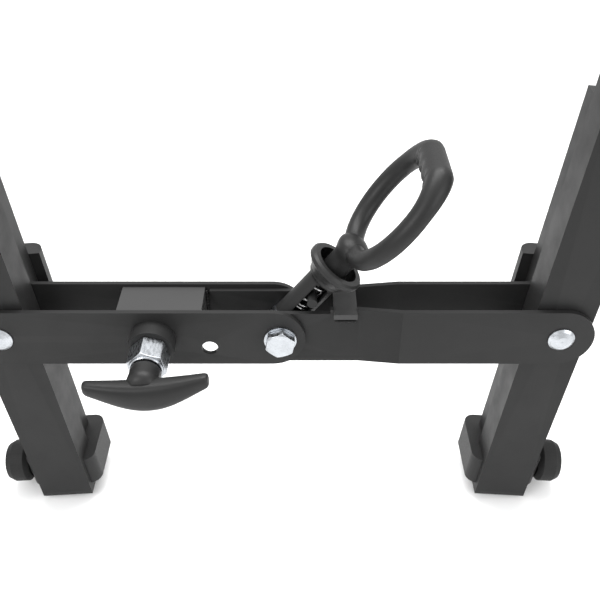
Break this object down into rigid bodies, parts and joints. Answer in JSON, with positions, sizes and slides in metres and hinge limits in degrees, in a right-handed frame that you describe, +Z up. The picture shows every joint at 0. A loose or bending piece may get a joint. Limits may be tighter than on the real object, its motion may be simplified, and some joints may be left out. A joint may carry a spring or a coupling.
{
  "type": "folding cross brace",
  "caption": "Centre-folding cross brace between two side-frame posts, with a spring-loaded pull-loop latch and a T-handle pull plunger",
  "frame": {"origin": "midway between the two fixing holes in the left rear rail, on the rail's rear face", "axes": "+X along the brace to the right, +Y to the rear along the fixing holes, +Z up"},
  "size_m": [0.4056, 0.1086, 0.3259],
  "materials": {
    "black_paint": "satin black powder coat",
    "zinc": "bright zinc plate",
    "grip": "moulded satin dark grey",
    "plastic": "moulded black plastic",
    "rubber": "black rubber"
  },
  "bodies": {
    "left_side": {"left_post": "black_paint", "left_post_caps": "plastic", "left_rail": "black_paint", "left_rail_caps": "plastic", "left_rail_bracket": "plastic", "left_lower_clamp": "plastic", "left_bumper": "rubber", "left_pivot_pin": "zinc", "left_pivot_clip": "zinc", "left_washers": "zinc"},
    "left_link": {"left_bar_front": "black_paint", "left_bar_rear": "black_paint", "spacer_block": "black_paint", "plunger_boss": "black_paint", "boss_weld": "black_paint", "plunger_body": "zinc", "plunger_spring": "zinc", "centre_bolt": "zinc", "centre_washers": "zinc", "centre_nut": "zinc", "pivot_sleeve": "zinc", "latch_tube": "black_paint", "latch_collar": "grip", "latch_spring": "zinc"},
    "plunger": {"plunger_pin": "zinc"},
    "tee": {"t_handle": "grip"},
    "latch": {"pull_rod": "black_paint", "cross_pin": "black_paint", "loop_handle": "grip"},
    "right_link": {"right_bar_front": "black_paint", "right_bar_rear": "black_paint", "stop_plate": "black_paint"},
    "right_side": {"right_post": "black_paint", "right_post_caps": "plastic", "right_rail": "black_paint", "right_rail_caps": "plastic", "right_rail_bracket": "plastic", "right_lower_clamp": "plastic", "right_bumper": "rubber", "right_pivot_pin": "zinc", "right_pivot_clip": "zinc", "right_washers": "zinc"}
  },
  "joints": [
    {"name": "fold", "type": "hinge", "parent": "left_side", "child": "left_link", "pos_m": [0, -0.03, 0.051], "axis": [0, -1, 0], "range_deg": [0, 43]},
    {"name": "centre_hinge", "type": "hinge", "parent": "left_link", "child": "right_link", "pos_m": [0.17, -0.03, 0.051], "axis": [0, -1, 0], "range_deg": [-86, 0]},
    {"name": "right_pivot", "type": "hinge", "parent": "right_link", "child": "right_side", "pos_m": [0.34, -0.03, 0.051], "axis": [0, -1, 0], "range_deg": [0, 43]},
    {"name": "plunger_pull", "type": "slide", "parent": "left_link", "child": "plunger", "axis": [0, -1, 0], "range_m": [0, 0.008], "stiffness_N_per_m": 800, "springref_m": -0.004, "deforming": ["plunger_spring"]},
    {"name": "t_handle_spin", "type": "hinge", "parent": "plunger", "child": "tee", "pos_m": [0.093, -0.09, 0.051], "axis": [0, -1, 0], "continuous": true},
    {"name": "latch_pull", "type": "slide", "parent": "left_link", "child": "latch", "axis": [0.6157, 0, 0.788], "range_m": [0, 0.008], "stiffness_N_per_m": 600, "springref_m": -0.01, "deforming": ["latch_spring"]}
  ],
  "couplings": [
    {"joint": "centre_hinge", "follows": "fold", "ratio": -2},
    {"joint": "right_pivot", "follows": "fold", "ratio": 1}
  ]
}
